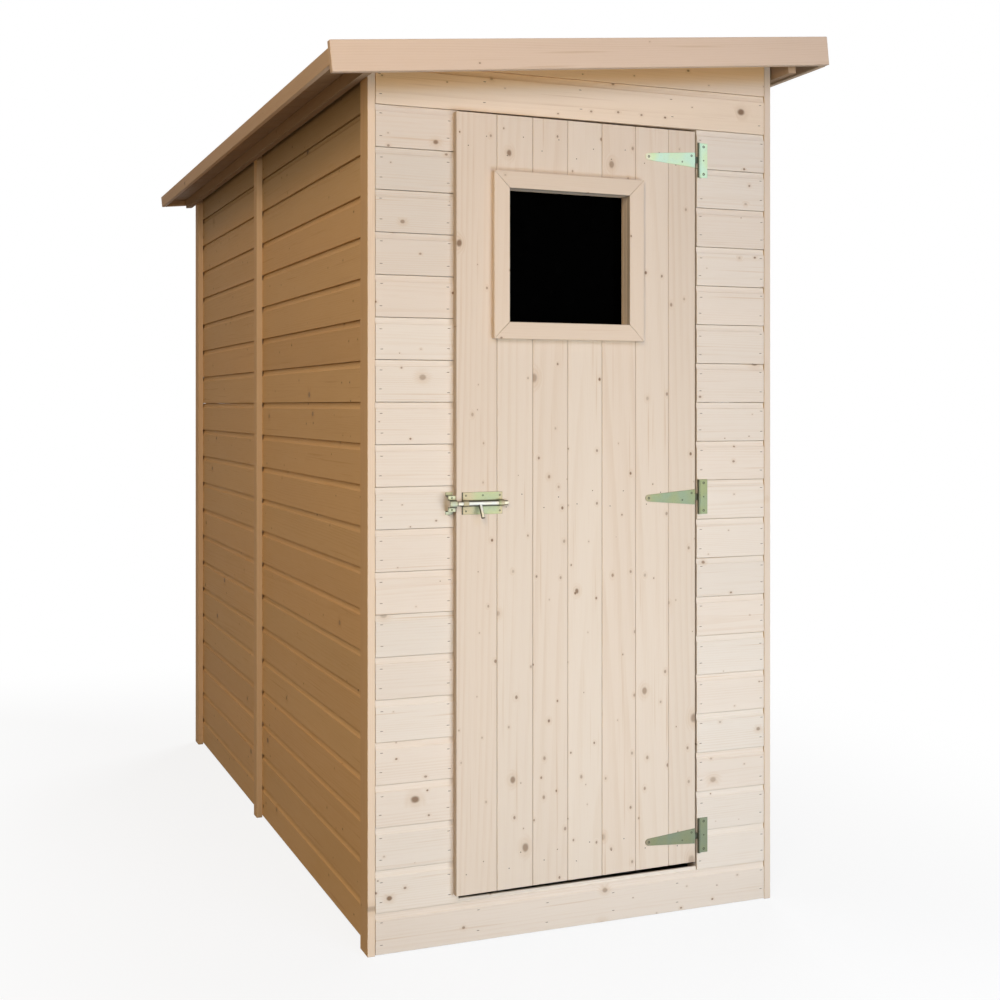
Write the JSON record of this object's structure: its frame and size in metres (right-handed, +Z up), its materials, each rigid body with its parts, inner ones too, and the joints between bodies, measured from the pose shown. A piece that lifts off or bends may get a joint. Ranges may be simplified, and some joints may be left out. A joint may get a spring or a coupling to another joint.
{
  "type": "tool shed",
  "caption": "Narrow timber tool shed: shiplap walls, pent roof rising to one side, boarded door with a small fixed window, T hinges and a barrel bolt.",
  "frame": {"origin": "on the ground below the middle of the roof, which is also the middle of the four walls", "axes": "+X to the right seen from the door, the side the roof rises to; +Y from the door to the back wall; +Z up"},
  "size_m": [1.1727, 2.214, 1.9772],
  "materials": {
    "wall_boards": "planed softwood",
    "door_boards": "planed softwood",
    "roof_boards": "planed softwood",
    "trim": "planed softwood",
    "battens": "sawn softwood",
    "zinc": "passivated zinc plate",
    "pane": "clear sheet, dark behind"
  },
  "bodies": {
    "shed": {"front_boards_left": "wall_boards", "front_boards_right": "wall_boards", "front_boards_top": "wall_boards", "front_boards_sill": "wall_boards", "left_boards_front": "wall_boards", "left_boards_back": "wall_boards", "right_boards_front": "wall_boards", "right_boards_back": "wall_boards", "back_boards": "wall_boards", "corner_strip_front_left": "trim", "corner_strip_front_right": "trim", "corner_strip_back_left": "trim", "corner_strip_back_right": "trim", "joint_strip_left": "trim", "joint_strip_right": "trim", "front_studs": "battens", "front_rails": "battens", "side_studs": "battens", "side_rails": "battens", "back_studs": "battens", "back_rails": "battens", "roof_boards": "roof_boards", "roof_purlin": "battens", "roof_bearers": "battens", "fascia_front": "roof_boards", "fascia_back": "roof_boards", "eaves_strip": "roof_boards", "verge_board": "roof_boards", "hinge_plates": "zinc", "bolt_keeper": "zinc"},
    "door": {"door_board_1": "door_boards", "door_board_2": "door_boards", "door_board_3": "door_boards", "door_board_4": "door_boards", "door_board_5": "door_boards", "door_board_6": "door_boards", "door_board_7": "door_boards", "door_ledges": "battens", "window_frame": "trim", "window_frame_inside": "battens", "window_pane": "pane", "hinge_straps": "zinc", "bolt_plate": "zinc"},
    "bolt": {"bolt_bar": "zinc"}
  },
  "joints": [
    {"name": "door_swing", "type": "hinge", "parent": "shed", "child": "door", "pos_m": [0.293, -1.0265, 0.931], "axis": [0, 0, 1], "range_deg": [0, 160]},
    {"name": "bolt_slide", "type": "slide", "parent": "door", "child": "bolt", "axis": [-0.9996, -0.0283, 0], "range_m": [-0.014, 0.017]}
  ]
}
